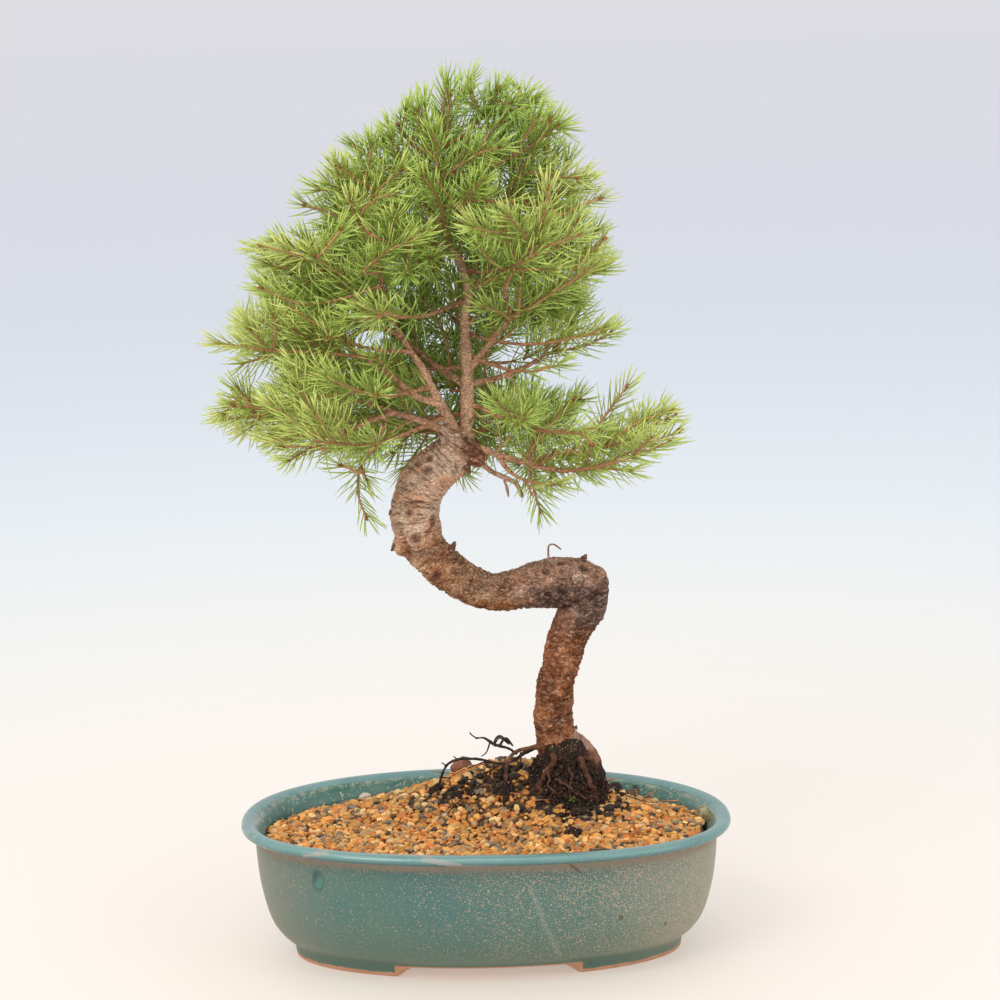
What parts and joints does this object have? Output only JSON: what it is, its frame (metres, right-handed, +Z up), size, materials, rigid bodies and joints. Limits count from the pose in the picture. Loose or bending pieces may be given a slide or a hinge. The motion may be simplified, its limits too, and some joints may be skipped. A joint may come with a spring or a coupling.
{
  "type": "potted bonsai tree",
  "caption": "White spruce bonsai with a bent bare stem and a rounded needle crown, planted in gravel in an oval glazed pot that rests on two feet.",
  "frame": {"origin": "on the ground under the middle of the whole object's box; the pot's own centre lies 5 mm to the right of it", "axes": "+X along the pot's length to the right seen from the front, +Y to the back, +Z up"},
  "size_m": [0.2805, 0.1788, 0.4885],
  "materials": {
    "glaze": "satin",
    "mesh_plastic": "matte",
    "gravel": "matte",
    "peat": "matte",
    "bark": "matte",
    "needles": "satin"
  },
  "bodies": {
    "root": {"drain_mesh_left": "mesh_plastic", "drain_mesh_right": "mesh_plastic", "gravel": "gravel", "pot": "glaze", "root_ball": "peat", "spray_01": "needles", "spray_02": "needles", "spray_03": "needles", "spray_04": "needles", "spray_05": "needles", "spray_06": "needles", "spray_07": "needles", "spray_08": "needles", "spray_09": "needles", "spray_10": "needles", "spray_11": "needles", "spray_12": "needles", "spray_13": "needles", "spray_14": "needles", "spray_15": "needles", "spray_16": "needles", "spray_17": "needles", "spray_18": "needles", "spray_19": "needles", "spray_20": "needles", "spray_21": "needles", "spray_22": "needles", "spray_23": "needles", "spray_24": "needles", "spray_25": "needles", "spray_26": "needles", "spray_27": "needles", "spray_28": "needles", "spray_29": "needles", "spray_30": "needles", "spray_31": "needles", "spray_32": "needles", "spray_33": "needles", "spray_34": "needles", "spray_35": "needles", "spray_36": "needles", "spray_37": "needles", "spray_38": "needles", "spray_39": "needles", "spray_40": "needles", "spray_41": "needles", "spray_42": "needles", "spray_43": "needles", "spray_44": "needles", "wood": "bark"}
  },
  "joints": []
}
